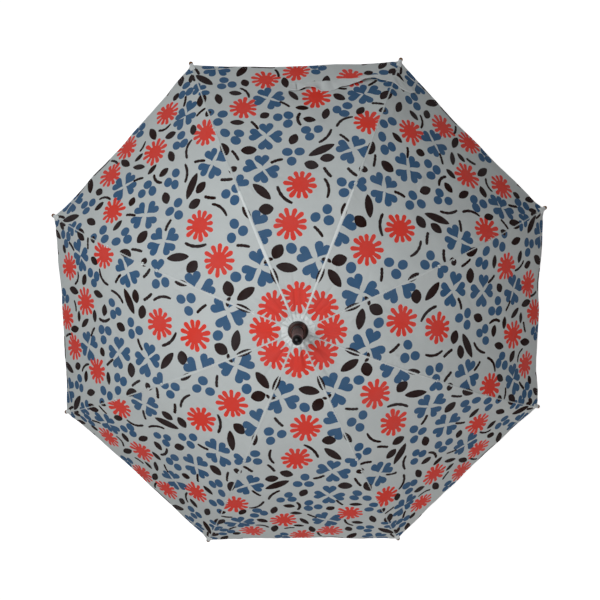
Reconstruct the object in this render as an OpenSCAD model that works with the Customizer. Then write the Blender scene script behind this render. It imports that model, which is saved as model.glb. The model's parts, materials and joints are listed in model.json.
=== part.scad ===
// Eight-rib stick umbrella that folds closed along its shaft.
// Origin: the middle of the straight grip, on the shaft axis. +Z points to the spike.
// Shown open, with the runner held up by the top catch.

/* [Canopy] */
// Distance from the shaft axis to the middle of a rib tip ball, open
open_r = 500; // [420:1:600]
// Height of the dome, from the tip balls to the crown of the ribs
dome_h = 200; // [160:1:240]
// Thickness of the canopy cloth with its hems
cloth_t = 0.8; // [0.6:0.1:1.2]
// Gap between the cloth and the top of a rib, along the rib's middle
cloth_gap = 1; // [0.9:0.1:2]
// Gap between two canopy panels, where they are sewn
panel_gap = 0.6; // [0.4:0.1:1]
// How far a tip ball stands past the corner of the cloth
tip_past_cloth = 7.5; // [6:0.5:12]

/* [Ribs and stretchers] */
// Width of the rib and stretcher channels
channel_w = 3.6; // [3.2:0.1:4.4]
// Height of the rib channel
rib_h = 3.2; // [2.8:0.1:4]
// Height of the stretcher channel
stretcher_h = 2.8; // [2.4:0.1:3.6]
// Wall of both channels
channel_wall = 0.6; // [0.5:0.1:0.8]
// Length of a stretcher between its pivots, and of the rib from the notch to the same pivot
stretcher_l = 255; // [210:1:290]
// How far the stretcher pivot lies under the middle of the rib
pivot_drop = 6; // [5.5:0.1:8]
// Diameter of the pivot rivet
rivet_d = 1.8; // [1.4:0.1:2.2]
// Diameter of the ball on a rib tip
tip_ball_d = 8; // [7.6:0.1:11]

/* [Shaft and spike] */
// Diameter of the wooden shaft
shaft_d = 14; // [11.5:0.1:17]
// Diameter of the shaft tenon inside the spike
tenon_d = 9; // [7:0.5:10]
// Length of the tenon
tenon_l = 45; // [30:1:55]
// Diameter of the turned cup at the foot of the spike
cup_d = 32; // [26:0.5:40]
// Diameter of the spike above the cup
spike_d = 17; // [14:0.5:20]
// Diameter of the spike under its cap
spike_top_d = 15.6; // [13:0.1:18]
// Length of the wooden spike, without its cap
spike_l = 64; // [58:1:90]
// Length of the cap on the spike
cap_l = 18; // [14:0.5:24]
// Wall of the cap
cap_wall = 1.6; // [1.2:0.1:2]

/* [Notch and runner] */
// Wall between the shaft and the hinge slots of notch and runner
hub_wall = 2; // [1.6:0.1:4]
// How far notch and runner crown stand out past their hinge circle
crown_rim = 3.5; // [3:0.1:6]
// Diameter of the hinge wire
wire_d = 1.4; // [1.2:0.1:1.8]
// Wall of the runner tube
runner_wall = 2; // [1.6:0.1:3]
// Length of the runner under its hinge circle
runner_l = 58; // [45:1:75]
// Sliding clearance between shaft and runner
slide_gap = 0.35; // [0.25:0.05:0.6]
// Distance between a hinge eye and its slot, each side
eye_gap = 0.4; // [0.3:0.05:0.6]
// Radius at which the tip balls park when closed
tip_park_r = 24; // [22:0.5:34]

/* [Catches] */
// Width of a catch
catch_w = 2.4; // [2:0.1:3]
// Height of a catch above its pin
catch_l = 22; // [18:0.5:30]
// How far a catch stands out of the shaft
catch_out = 3; // [2:0.1:3.5]
// Diameter of a catch pin
catch_pin_d = 1.4; // [1:0.1:1.8]

/* [Handle] */
// Diameter of the wooden handle
handle_d = 22; // [18:0.5:28]
// Length of the straight grip
grip_l = 110; // [90:1:140]
// Radius of the crook, at the middle of the wood
crook_r = 40; // [30:1:50]
// Length of the upward end of the crook
crook_end_l = 24; // [10:1:50]
// Depth of the socket for the shaft
socket_l = 60; // [40:1:80]
// Length of the collar above the grip
collar_l = 12; // [8:1:20]
// Gap between the collar and the parked runner
park_gap = 8; // [4:0.5:20]

/* [Closure strap] */
// Length of the strap
strap_l = 198; // [150:1:260]
// Width of the strap
strap_w = 19; // [15:0.5:30]
// Thickness of the strap
strap_t = 0.9; // [0.8:0.1:1.4]
// Distance from the cloth edge to the middle of the strap
strap_inset = 46; // [30:1:80]
// Length of the strap past the rib that it is sewn to
strap_past_rib = 18; // [10:1:30]

/* [Hidden] */
rib_count = 8;
rib_step = 360 / rib_count;
half_step = rib_step / 2;
fit_gap = 0.1;       // between pieces that are pressed, glued or riveted together
pin_gap = 0.25;      // around a wire, rivet or pin that something turns on
stop_gap = 0.4;      // between the runner and what stops it

// Hinges of notch and runner, which share one radius
eye_r = 2.6;
slot_r = shaft_d / 2 + hub_wall;
hinge_r = slot_r + eye_r + eye_gap;
crown_r = hinge_r + crown_rim;
crown_up = 3;        // notch and crown above their hinge circle
crown_down = 4.2;    // notch and crown under their hinge circle
tongue_t = channel_w - 2 * channel_wall + 2 * fit_gap;
slot_w = tongue_t + 2 * eye_gap;
eye_hole_d = wire_d + 2 * pin_gap;
tongue_in = crown_r + 2.5;  // where the channels begin, clear of the crowns
pivot_tongue = 9;    // length of the stretcher tongue at its rib end

// Rib arc: a circle about a centre on the shaft axis, level at the crown
bend_r = (open_r * open_r + dome_h * dome_h) / (2 * dome_h);
tip_phi = asin(open_r / bend_r);
hinge_drop = 3.5;    // the notch hinge lies under the middle of the rib
hinge_arc_r = bend_r - hinge_drop;
pivot_arc_r = bend_r - pivot_drop;
hinge_phi = asin(hinge_r / hinge_arc_r);
pivot_phi = hinge_phi + acos((pow(hinge_arc_r, 2) + pow(pivot_arc_r, 2) - pow(stretcher_l, 2))
                             / (2 * hinge_arc_r * pivot_arc_r));

// Four-bar of one rib: hinge in the notch, pivot on the rib, hinge in the runner
pivot_r = pivot_arc_r * sin(pivot_phi);
pivot_below = hinge_arc_r * cos(hinge_phi) - pivot_arc_r * cos(pivot_phi);
open_angle = atan2(pivot_below, pivot_r - hinge_r);
tip_below = hinge_arc_r * cos(hinge_phi) - bend_r * cos(tip_phi);
tip_reach = norm([open_r - hinge_r, tip_below]);
fold_angle = acos((tip_park_r - hinge_r) / tip_reach) - atan2(tip_below, open_r - hinge_r);
closed_drop = 2 * stretcher_l * sin(open_angle + fold_angle);

// Heights
collar_z = grip_l / 2;
hinge_z = collar_z + collar_l + park_gap + runner_l + closed_drop;
bend_z = hinge_z - hinge_arc_r * cos(hinge_phi);
crown_z = bend_z + bend_r;
runner_z = hinge_z - 2 * pivot_below;
cloth_z = crown_z + rib_h / 2 + cloth_gap;
washer_t = 1;
cup_z = cloth_z + cloth_t + washer_t + 2 * fit_gap;

// Catches
catch_pin_x = 2.5;
catch_slot_w = catch_w + 4 * fit_gap;
keyway_w = catch_w + 4 * pin_gap;
keyway_r = shaft_d / 2 + catch_out + stop_gap;
hand_catch_z = collar_z + collar_l + park_gap + runner_l / 2 - catch_l / 2;
top_catch_z = runner_z - runner_l - stop_gap - catch_l;
stop_pin_d = 2;
stop_pin_z = runner_z + crown_up + stop_gap + stop_pin_d / 2;
notch_pin_d = 1.6;

cloth_rho = open_r - tip_past_cloth;
strap_rho = cloth_rho - strap_inset;

function num_names(name) = [for (i = [1 : rib_count]) str(name, "_", i)];
$fn = 48;

wood = [0.24, 0.12, 0.09];
steel = [0.72, 0.73, 0.75];
cloth = [0.80, 0.83, 0.84];
amber = [0.72, 0.48, 0.16];
black = [0.08, 0.08, 0.09];

// Height of the middle of a rib at a distance from the axis
function rib_z(x) = bend_z + sqrt(bend_r * bend_r - x * x);
// Height of the underside of the cloth over the rib at the same distance
function cloth_under(rho) = bend_z + sqrt(pow(bend_r + rib_h / 2 + cloth_gap, 2) - rho * rho);
// Point of the cloth at distance rho on a rib, moved by side along the straight line to the next rib
function cloth_point(rho, side, up) =
    [rho - abs(side) * sin(half_step), side * cos(half_step), cloth_under(rho) + up];

module at_rib(i) {
    rotate([0, 0, half_step + (i - 1) * rib_step]) children();
}

// Frame on the rib arc at angle phi: X runs outward along the rib
module on_arc(phi) {
    translate([bend_r * sin(phi), 0, bend_z + bend_r * cos(phi)]) rotate([0, phi, 0]) children();
}

// A pin across the rib plane
module cross_pin(d, l) {
    rotate([90, 0, 0]) cylinder(d = d, h = l, center = true);
}

// A plate in the rib plane
module rib_plate(t) {
    rotate([90, 0, 0]) linear_extrude(height = t, center = true) children();
}

// U section, open towards -Y
module channel_2d(w, h) {
    difference() {
        square([w, h], center = true);
        translate([0, -channel_wall]) square([w - 2 * channel_wall, h], center = true);
    }
}

module ring_wire() {
    color(steel) rotate_extrude($fn = 96) translate([hinge_r, 0]) circle(d = wire_d, $fn = 24);
}

// Eight slots and the wire groove, cut from a crown whose hinge circle is at z = 0
module crown_cuts() {
    for (i = [1 : rib_count]) at_rib(i)
        translate([slot_r, -slot_w / 2, -crown_down - fit_gap])
            cube([crown_r, slot_w, crown_down + crown_up + 2 * fit_gap]);
    groove_h = wire_d + 2 * fit_gap;
    difference() {
        translate([0, 0, -groove_h / 2]) cylinder(r = crown_r + 1, h = groove_h);
        cylinder(r = hinge_r - groove_h / 2, h = 2 * groove_h, center = true);
    }
}

module crown_body() {
    translate([0, 0, -crown_down]) cylinder(r = crown_r, h = crown_down + crown_up);
}

module catch_at(z) {
    translate([catch_pin_x, 0, z]) children();
}

// Slot and pin hole that a catch needs in the shaft
module catch_cuts(z) {
    slot_x = -catch_out + fit_gap;
    translate([slot_x, -catch_slot_w / 2, z - 4]) cube([shaft_d, catch_slot_w, catch_l + 6]);
    catch_at(z) cross_pin(catch_pin_d + fit_gap, shaft_d);
}

module catch_wedge() {
    outer = shaft_d / 2 - catch_pin_x;
    difference() {
        rib_plate(catch_w) polygon([
            [-1.3, -2.5], [outer - 2.5, -2.5], [outer - 0.4, catch_l * 0.2],
            [outer + catch_out, catch_l - 1.5], [outer + catch_out, catch_l], [-1, catch_l],
        ]);
        cross_pin(catch_pin_d + pin_gap, shaft_d);
    }
}

module catch_pin() {
    half = sqrt(pow(shaft_d / 2, 2) - pow(catch_pin_x + catch_pin_d / 2, 2)) - fit_gap;
    cross_pin(catch_pin_d, 2 * half);
}

module shaft() {
    foot_z = collar_z - socket_l + fit_gap;
    top_z = hinge_z + crown_up;
    color(wood) difference() {
        union() {
            translate([0, 0, foot_z]) cylinder(d = shaft_d, h = top_z - foot_z);
            cylinder(d = tenon_d, h = cup_z + tenon_l);
        }
        catch_cuts(hand_catch_z);
        catch_cuts(top_catch_z);
        translate([0, 0, stop_pin_z]) cross_pin(stop_pin_d + fit_gap, 2 * shaft_d);
        translate([0, 0, hinge_z]) cross_pin(notch_pin_d + fit_gap, 2 * shaft_d);
    }
}

module spike() {
    foot = 3.5;
    neck_z = 9;
    neck_r = spike_d / 2 + 1.2;
    groove = 0.7;
    color(wood) translate([0, 0, cup_z]) difference() {
        union() {
            rotate_extrude($fn = 96) polygon(concat(
                [[0, 0], [cup_d / 2 - 1.2, 0], [cup_d / 2, 1.2], [cup_d / 2, foot - 0.8],
                 [cup_d / 2 - 0.8, foot]],
                [for (a = [15 : 15 : 90]) [
                    neck_r + (cup_d / 2 - 0.8 - neck_r) * (1 - sin(a)),
                    neck_z - (neck_z - foot) * cos(a)]],
                [[neck_r, neck_z + 1], [spike_d / 2 - groove, neck_z + 1.4],
                 [spike_d / 2 - groove, neck_z + 2.6], [spike_d / 2, neck_z + 3],
                 [spike_top_d / 2, spike_l], [0, spike_l]]));
            cylinder(d = spike_top_d - 2 * cap_wall, h = spike_l + cap_l / 2);
        }
        translate([0, 0, -1]) cylinder(d = tenon_d + 2 * fit_gap, h = tenon_l + 2);
    }
}

module spike_cap() {
    dome_r = spike_top_d / 2;
    dome_up = min(dome_r, cap_l - cap_wall);
    color(black) translate([0, 0, cup_z + spike_l + fit_gap]) difference() {
        union() {
            cylinder(r = dome_r, h = cap_l - dome_up);
            intersection() {
                translate([0, 0, cap_l - dome_up]) sphere(r = dome_r, $fn = 64);
                cylinder(r = 2 * dome_r, h = cap_l + dome_r);
            }
        }
        translate([0, 0, -1]) cylinder(d = spike_top_d - 2 * cap_wall + 2 * fit_gap, h = cap_l / 2 + 1);
    }
}

module top_washer() {
    color(black) translate([0, 0, cup_z - washer_t - fit_gap]) difference() {
        cylinder(d = cup_d - 4, h = washer_t);
        translate([0, 0, -1]) cylinder(d = tenon_d + 4 * fit_gap, h = washer_t + 2);
    }
}

module notch() {
    color(steel) translate([0, 0, hinge_z]) difference() {
        crown_body();
        crown_cuts();
        cylinder(d = shaft_d + 2 * fit_gap, h = 4 * crown_down, center = true);
        cross_pin(notch_pin_d + fit_gap, 4 * crown_r);
    }
}

module notch_wire() {
    translate([0, 0, hinge_z]) ring_wire();
}

module notch_pin() {
    color(steel) translate([0, 0, hinge_z]) cross_pin(notch_pin_d, 2 * (slot_r - fit_gap));
}

module stop_pin() {
    color(steel) translate([0, 0, stop_pin_z]) cross_pin(stop_pin_d, shaft_d + 5);
}

module top_catch() {
    color(steel) catch_at(top_catch_z) catch_wedge();
}

module top_catch_pin() {
    color(steel) catch_at(top_catch_z) catch_pin();
}

module hand_catch() {
    color(steel) catch_at(hand_catch_z) catch_wedge();
}

module hand_catch_pin() {
    color(steel) catch_at(hand_catch_z) catch_pin();
}

module runner() {
    tube_r = shaft_d / 2 + slide_gap + runner_wall;
    flange_h = 2.5;
    ring_h = 5;
    ridge_w = keyway_w + 2 * runner_wall;
    tube_l = runner_l - crown_down;
    color(steel) translate([0, 0, runner_z]) difference() {
        union() {
            crown_body();
            translate([0, 0, -crown_down - flange_h]) cylinder(r = crown_r - 2, h = flange_h + 0.5);
            translate([0, 0, -runner_l]) cylinder(r = tube_r, h = tube_l);
            translate([0, -ridge_w / 2, -runner_l]) cube([keyway_r + 1.6, ridge_w, tube_l]);
            translate([0, 0, -runner_l]) cylinder(r = keyway_r + 2.6, h = ring_h);
        }
        crown_cuts();
        cylinder(d = shaft_d + 2 * slide_gap, h = 3 * runner_l, center = true);
        translate([0, -keyway_w / 2, -2 * runner_l]) cube([keyway_r, keyway_w, 3 * runner_l]);
    }
}

module runner_wire() {
    translate([0, 0, runner_z]) ring_wire();
}

module collar() {
    color(steel) translate([0, 0, collar_z + fit_gap]) difference() {
        union() {
            cylinder(d = handle_d - 1, h = collar_l / 2);
            cylinder(d = handle_d - 3, h = collar_l - fit_gap);
        }
        translate([0, 0, -1]) cylinder(d = shaft_d + 2 * fit_gap, h = collar_l + 2);
    }
}

module handle() {
    foot_z = -grip_l / 2;
    color(wood) difference() {
        union() {
            translate([0, 0, foot_z]) cylinder(d = handle_d, h = grip_l);
            translate([crook_r, 0, foot_z]) rotate([90, 0, 0])
                rotate_extrude(angle = 180, start = 180, $fn = 96)
                    translate([crook_r, 0]) circle(d = handle_d);
            translate([2 * crook_r, 0, foot_z]) {
                cylinder(d = handle_d, h = crook_end_l);
                translate([0, 0, crook_end_l]) sphere(d = handle_d, $fn = 64);
            }
        }
        translate([0, 0, collar_z - socket_l]) cylinder(d = shaft_d + 2 * fit_gap, h = socket_l + 1);
    }
}

// Strap: a thin band over the cloth, across one rib and along the straight line to the next rib
module strap() {
    sides = [-strap_past_rib, 0, (strap_l - strap_past_rib) / 2, strap_l - strap_past_rib];
    lift = cloth_t + 0.6;
    points = [for (s = sides) each [
        cloth_point(strap_rho - strap_w / 2, s, lift), cloth_point(strap_rho + strap_w / 2, s, lift),
        cloth_point(strap_rho + strap_w / 2, s, lift + strap_t),
        cloth_point(strap_rho - strap_w / 2, s, lift + strap_t)]];
    last = 4 * (len(sides) - 1);
    faces = concat(
        [[0, 1, 2, 3], [last + 3, last + 2, last + 1, last]],
        [for (s = [0 : len(sides) - 2], k = [0 : 3])
            let (a = 4 * s + k, b = 4 * s + (k + 1) % 4) [a, a + 4, b + 4, b]]);
    color(cloth) at_rib(2) polyhedron(points = points, faces = faces, convexity = 2);
}

module rib(i) {
    end_phi = tip_phi - (1.5 / bend_r) * 180 / PI;
    start_phi = asin(tongue_in / bend_r);
    tongue_end = tongue_in + 12;
    web = rib_h / 2 - channel_wall / 2;
    color(steel) at_rib(i) difference() {
        union() {
            translate([0, 0, bend_z]) rotate([90, 0, 0])
                rotate_extrude(angle = end_phi - start_phi, start = 90 - end_phi, $fn = 96)
                    translate([bend_r, 0]) rotate([0, 0, -90]) channel_2d(channel_w, rib_h);
            translate([hinge_r, 0, hinge_z]) cross_pin(2 * eye_r, tongue_t);
            rib_plate(tongue_t) polygon([
                [hinge_r, hinge_z + eye_r], [hinge_r - 0.5, hinge_z - eye_r + 0.2],
                [tongue_in - 3, hinge_z - eye_r + 0.4],
                [tongue_end, rib_z(tongue_end) - 1], [tongue_end, rib_z(tongue_end) + web],
                [tongue_in - 1, rib_z(tongue_in) + web]]);
        }
        translate([hinge_r, 0, hinge_z]) cross_pin(eye_hole_d, 2 * channel_w);
        on_arc(pivot_phi) translate([0, 0, -0.4]) cross_pin(rivet_d - 0.6 + fit_gap, 2 * channel_w);
    }
}

// Two cheeks on the sides of the rib, riveted through it, with the stretcher pivot under it
module rib_joint(i) {
    cheek_t = 0.8;
    cheek_in = channel_w / 2 + fit_gap / 2;
    head_t = 0.5;
    half_foot = 4;
    color(steel) at_rib(i) on_arc(pivot_phi) {
        for (side = [-1, 1]) translate([0, side * (cheek_in + cheek_t / 2), 0]) {
            rib_plate(cheek_t) polygon([
                [-half_foot, rib_h / 2 - 0.8], [-half_foot, -rib_h / 2 - 0.4], [-2.2, -pivot_drop],
                [2.2, -pivot_drop], [half_foot, -rib_h / 2 - 0.4], [half_foot, rib_h / 2 - 0.8]]);
            translate([0, 0, -pivot_drop]) cross_pin(4.4, cheek_t);
        }
        translate([0, 0, -pivot_drop]) {
            cross_pin(rivet_d, 2 * (cheek_in + cheek_t));
            for (side = [-1, 1]) translate([0, side * (cheek_in + cheek_t + head_t / 2), 0])
                cross_pin(rivet_d + 1.2, head_t + 0.1);
        }
        translate([0, 0, -0.4]) cross_pin(rivet_d - 0.6, 2 * (cheek_in + cheek_t));
    }
}

// Ball with a socket neck, pushed on the end of the rib channel
module rib_tip(i) {
    neck_l = 9;
    bore_d = norm([channel_w, rib_h]) + 2 * fit_gap;
    color(amber) at_rib(i) on_arc(tip_phi) difference() {
        union() {
            sphere(d = tip_ball_d, $fn = 48);
            translate([-neck_l, 0, 0]) rotate([0, 90, 0]) cylinder(d = bore_d + 1.4, h = neck_l);
        }
        translate([-neck_l - 1, 0, 0]) rotate([0, 90, 0]) cylinder(d = bore_d, h = neck_l);
    }
}

module stretcher(i) {
    channel_in = tongue_in - hinge_r + 0.5;
    top = stretcher_h / 2 - channel_wall / 2;
    color(steel) at_rib(i) translate([hinge_r, 0, runner_z]) rotate([0, -open_angle, 0]) difference() {
        union() {
            translate([channel_in, 0, 0]) rotate([90, 0, 90])
                linear_extrude(height = stretcher_l - channel_in - pivot_tongue)
                    channel_2d(channel_w, stretcher_h);
            for (end = [0, 1]) translate([end * stretcher_l, 0, 0]) {
                cross_pin(2 * (end == 0 ? eye_r : 2.2), tongue_t);
                mirror([end, 0, 0]) rib_plate(tongue_t)
                    polygon([[0, -1.6], [22, -1], [22, top], [0, 1.6]]);
            }
        }
        cross_pin(eye_hole_d, 2 * channel_w);
        translate([stretcher_l, 0, 0]) cross_pin(rivet_d + 2 * pin_gap, 2 * channel_w);
    }
}

// One canopy panel, centred on its rib, half a gore to each side
module canopy(i) {
    hole_rho = tenon_d / 2 + 2;
    rows = 22;
    rhos = [for (k = [0 : rows]) hole_rho + (cloth_rho - hole_rho) * k / rows];
    points = [for (rho = rhos, side = [-1, 0, 1], up = [0, cloth_t])
        cloth_point(rho, side * (rho * sin(half_step) - panel_gap / 2), up)];
    function at(row, col, up) = 6 * row + 2 * col + up;
    faces = concat(
        [for (r = [0 : rows - 1], c = [0 : 1]) each [
            [at(r, c, 1), at(r + 1, c, 1), at(r + 1, c + 1, 1), at(r, c + 1, 1)],
            [at(r, c, 0), at(r, c + 1, 0), at(r + 1, c + 1, 0), at(r + 1, c, 0)]]],
        [for (r = [0 : rows - 1]) each [
            [at(r, 0, 0), at(r + 1, 0, 0), at(r + 1, 0, 1), at(r, 0, 1)],
            [at(r, 2, 0), at(r, 2, 1), at(r + 1, 2, 1), at(r + 1, 2, 0)]]],
        [for (c = [0 : 1]) each [
            [at(0, c, 0), at(0, c, 1), at(0, c + 1, 1), at(0, c + 1, 0)],
            [at(rows, c, 0), at(rows, c + 1, 0), at(rows, c + 1, 1), at(rows, c, 1)]]]);
    color(cloth) at_rib(i) polyhedron(points = points, faces = faces, convexity = 4);
}

shaft();
spike();
spike_cap();
top_washer();
notch();
notch_wire();
notch_pin();
stop_pin();
top_catch();
top_catch_pin();
hand_catch();
hand_catch_pin();
runner();
runner_wire();
collar();
handle();
strap();
for (i = [1 : rib_count]) rib(i);
for (i = [1 : rib_count]) rib_joint(i);
for (i = [1 : rib_count]) rib_tip(i);
for (i = [1 : rib_count]) stretcher(i);
for (i = [1 : rib_count]) canopy(i);
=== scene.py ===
import json
import math
import random

import bpy
import numpy as np
from mathutils import Matrix, Vector, kdtree
from mathutils.geometry import delaunay_2d_cdt


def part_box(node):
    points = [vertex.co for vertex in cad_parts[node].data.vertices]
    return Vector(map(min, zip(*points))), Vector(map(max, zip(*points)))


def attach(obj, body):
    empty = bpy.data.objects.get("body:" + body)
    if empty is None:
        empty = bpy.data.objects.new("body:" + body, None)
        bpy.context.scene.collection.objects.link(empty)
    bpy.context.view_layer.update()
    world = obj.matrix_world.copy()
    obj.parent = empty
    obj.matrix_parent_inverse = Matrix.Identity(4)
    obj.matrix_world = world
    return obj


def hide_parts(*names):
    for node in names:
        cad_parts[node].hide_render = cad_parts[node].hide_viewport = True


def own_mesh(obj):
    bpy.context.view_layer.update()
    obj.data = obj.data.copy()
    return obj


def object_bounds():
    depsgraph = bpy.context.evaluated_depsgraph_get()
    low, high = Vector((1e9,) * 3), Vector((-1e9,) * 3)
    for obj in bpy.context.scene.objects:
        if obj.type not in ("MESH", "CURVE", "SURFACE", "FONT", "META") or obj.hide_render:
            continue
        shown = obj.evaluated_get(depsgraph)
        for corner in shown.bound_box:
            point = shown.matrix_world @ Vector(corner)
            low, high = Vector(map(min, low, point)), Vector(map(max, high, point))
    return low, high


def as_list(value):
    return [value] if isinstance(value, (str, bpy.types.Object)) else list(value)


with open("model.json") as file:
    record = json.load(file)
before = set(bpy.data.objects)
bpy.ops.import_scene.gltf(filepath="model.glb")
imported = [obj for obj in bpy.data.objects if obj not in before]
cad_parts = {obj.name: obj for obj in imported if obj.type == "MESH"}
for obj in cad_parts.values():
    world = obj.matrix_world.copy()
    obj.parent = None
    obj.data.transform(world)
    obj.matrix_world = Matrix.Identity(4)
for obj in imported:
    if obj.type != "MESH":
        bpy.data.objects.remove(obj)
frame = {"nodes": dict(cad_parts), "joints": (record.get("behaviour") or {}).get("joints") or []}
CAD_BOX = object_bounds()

# Sizes of the frame, in millimetres
MM = 0.001
RIBS = 8
STEP = math.tau / RIBS
TAN = math.tan(STEP / 2)
COS = math.cos(STEP / 2)
OPEN_R = 500.0
BEND_R = 725.0
RIB_H = 3.2
UNDER_CUP = 1.2 + 0.8 + 1.0  # felt washer, cloth, and the gap to the ribs
CUP_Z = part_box("spike")[0].z / MM
BEND_Z = CUP_Z - UNDER_CUP - RIB_H / 2 - BEND_R
CLOTH_R = BEND_R + RIB_H / 2 + 1.4
TIP_PHI = math.asin(OPEN_R / BEND_R)
PIVOT_RHO = math.hypot(*frame["joints"][1]["pos_m"][:2]) / MM

# Cloth
HALF_T = 0.15
HEM_HALF_T = 0.5
HEM_W = 5.0
HOLE_R = 13.5
RIM_MIDDLE_RHO = 486.5
RIM_CORNER_RHO = 494.0
# Bands across each panel, from the crown out: (outer edge's height on the panel, degrees that the fold leans outward
# as the umbrella closes). The first one has no fold, and the last one reaches past the rim.
BANDS = [(32, 0.0), (48, -61.8), (66, -57.3), (90, -53.9), (120, -51.2), (152, -49.2), (186, -47.5), (222, -45.8),
         (258, -44.2), (294, -42.6), (330, -40.8), (364, -39.1), (396, -37.2), (426, -35.3), (452, -33.3),
         (478, -31.0), (600, -28.0)]
BAND_NAMES = "abcdefghijklmnopq"
# Inks of the cloth, which also number its material slots
CLOTH, PALE, RED, BLUE, BROWN = range(5)


# ---------------------------------------------------------------- print, in centimetres on the flat panel
# x runs across the panel and y along its middle, from the crown
DAISIES = [(0.1, 5.4, 2.75), (-1.0, 17.0, 2.72), (0.7, 23.6, 2.72), (-8.9, 39.0, 2.62), (3.5, 41.5, 2.62),
           (-5.25, 46.2, 2.62), (9.7, 46.2, 2.62), (0.2, 48.4, 2.6), (12.0, 35.2, 2.66)]
CLOVERS = [
    ((3.1, 11.1), (1.25, 11.9), (3.9, 12.7), (2.3, 9.5), (4.9, 10.5)),
    ((-7.2, 16.2), (-6.0, 17.9), (-5.2, 15.1)),
    ((-5.3, 26.4), (-7.4, 26.9), (-5.5, 28.1), (-3.8, 26.0), (-5.6, 24.9)),
    ((-4.9, 32.9), (-4.9, 34.5), (-6.7, 33.2), (-3.25, 32.8), (-5.0, 31.2)),
    ((9.3, 29.8), (7.7, 30.3), (10.1, 31.2), (11.1, 29.3), (8.5, 28.3)),
    ((-4.6, 41.3), (-5.25, 42.8), (-3.0, 41.7), (-3.8, 39.8), (-6.2, 40.9)),
    ((11.7, 41.9), (10.0, 41.7), (11.3, 43.0), (13.5, 42.6), (11.95, 40.7)),
    ((-14.3, 49.8), (-15.1, 48.7), (-12.9, 48.9), (-15.6, 50.6), (-13.0, 50.8)),
    ((-17.6, 43.2), (-16.1, 42.5), (-16.9, 44.4)),
    ((18.0, 43.4), (17.1, 42.6), (16.5, 44.5), (18.2, 49.9)),
    ((-10.2, 22.6), (-8.8, 24.1)),
]
DOTS = [(-0.85, 13.0), (3.0, 18.0), (4.9, 19.3), (5.1, 17.4), (-1.4, 29.7), (0.6, 29.7), (-0.7, 27.9), (1.7, 34.0),
        (3.75, 34.1), (2.3, 32.6), (-3.0, 36.8), (-1.2, 37.2), (-1.3, 35.4), (-11.7, 33.5), (-9.4, 33.5),
        (-9.9, 32.0), (7.0, 38.5), (8.8, 39.3), (8.2, 37.5), (-12.3, 37.6), (-14.5, 38.0), (-13.0, 35.8),
        (-12.6, 46.3), (-12.9, 44.6), (-11.1, 45.0), (3.3, 49.9), (4.8, 49.2), (3.6, 48.1), (13.9, 46.6),
        (15.6, 47.6), (15.2, 45.6), (7.3, 23.9), (7.6, 22.0), (9.1, 23.2)]
LEAVES = [
    (-3.0, 12.5, 2.4, 1.6, 60), (-1.6, 9.95, 3.2, 1.3, -10), (-3.4, 8.6, 2.5, 0.6, -73), (3.5, 8.7, 2.5, 0.6, 66),
    (-7.9, 18.75, 2.2, 0.9, -60), (7.5, 19.0, 2.3, 0.8, 80), (-4.8, 19.5, 2.2, 1.6, 5), (-5.5, 22.4, 3.6, 1.2, -42),
    (2.5, 27.1, 2.2, 1.4, -15), (5.1, 28.25, 2.2, 1.3, 5), (4.2, 29.8, 4.4, 1.2, 25), (-7.7, 30.1, 2.4, 1.5, 5),
    (-10.1, 26.4, 1.2, 0.9, 30), (-11.7, 30.2, 2.4, 1.3, -70), (12.3, 30.0, 2.4, 1.0, 75),
    (10.7, 26.0, 1.3, 1.0, 60),
    (-0.4, 32.2, 2.1, 1.3, 65), (2.3, 36.25, 2.0, 1.1, -10), (-5.2, 37.2, 1.6, 1.2, 30), (-9.8, 35.8, 2.2, 0.9, 0),
    (5.1, 37.6, 2.4, 1.1, 75), (10.9, 38.0, 1.9, 1.1, 55), (1.1, 38.9, 2.1, 0.9, 0), (-0.4, 41.9, 2.6, 0.9, -55),
    (7.5, 41.5, 2.2, 1.2, -35), (15.3, 41.5, 2.4, 1.2, 55), (14.7, 37.9, 1.4, 1.0, 20), (-13.25, 41.3, 2.5, 1.1, -75),
    (-15.9, 41.0, 2.6, 1.0, 80), (-10.4, 42.7, 2.1, 1.0, -10), (-8.9, 45.4, 1.9, 1.2, -70),
    (-9.6, 48.9, 3.3, 1.3, 65),
    (-1.8, 45.5, 2.8, 1.1, -80), (5.3, 45.3, 3.0, 1.2, 80), (0.7, 43.75, 1.9, 0.8, -5), (12.9, 47.6, 1.6, 1.1, 20),
    (15.6, 50.0, 2.8, 1.1, 60), (-16.1, 46.5, 4.0, 1.3, -42), (17.6, 47.4, 1.8, 0.8, 65), (-14.9, 37.9, 1.3, 0.9, 20),
    (-4.15, 11.3, 0.8, 0.4, 0), (4.25, 11.2, 0.8, 0.4, 0), (17.1, 48.0, 1.9, 0.9, 55),
]
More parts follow.
